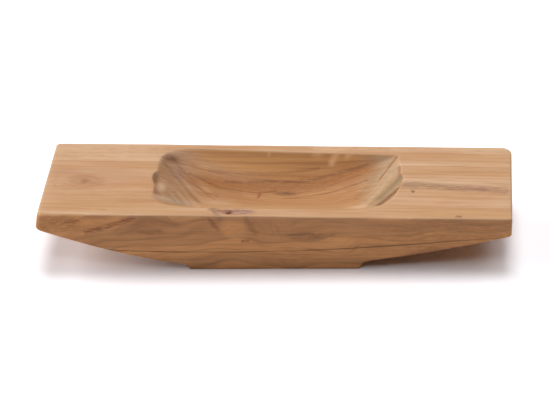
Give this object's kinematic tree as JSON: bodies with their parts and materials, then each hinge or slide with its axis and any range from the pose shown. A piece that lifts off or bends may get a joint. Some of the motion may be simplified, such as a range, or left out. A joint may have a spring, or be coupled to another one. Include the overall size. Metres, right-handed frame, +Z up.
{
  "type": "wooden bowl",
  "caption": "Long, low bowl carved from one block of wood: a dished hollow in a flat top, a solid wing at each end to lift it by, and a swept underside down to a low foot.",
  "frame": {"origin": "level with the foot's flat bottom, under the middle of the bowl's overall length and width", "axes": "+X along the bowl to the right, +Y to the back, +Z up; -Y is the front that the picture shows"},
  "size_m": [0.5092, 0.137, 0.0731],
  "materials": {
    "oiled_wood": "hand-planed and lightly oiled, satin, with open straight grain"
  },
  "bodies": {
    "root": {"bowl": "oiled_wood"}
  },
  "joints": []
}
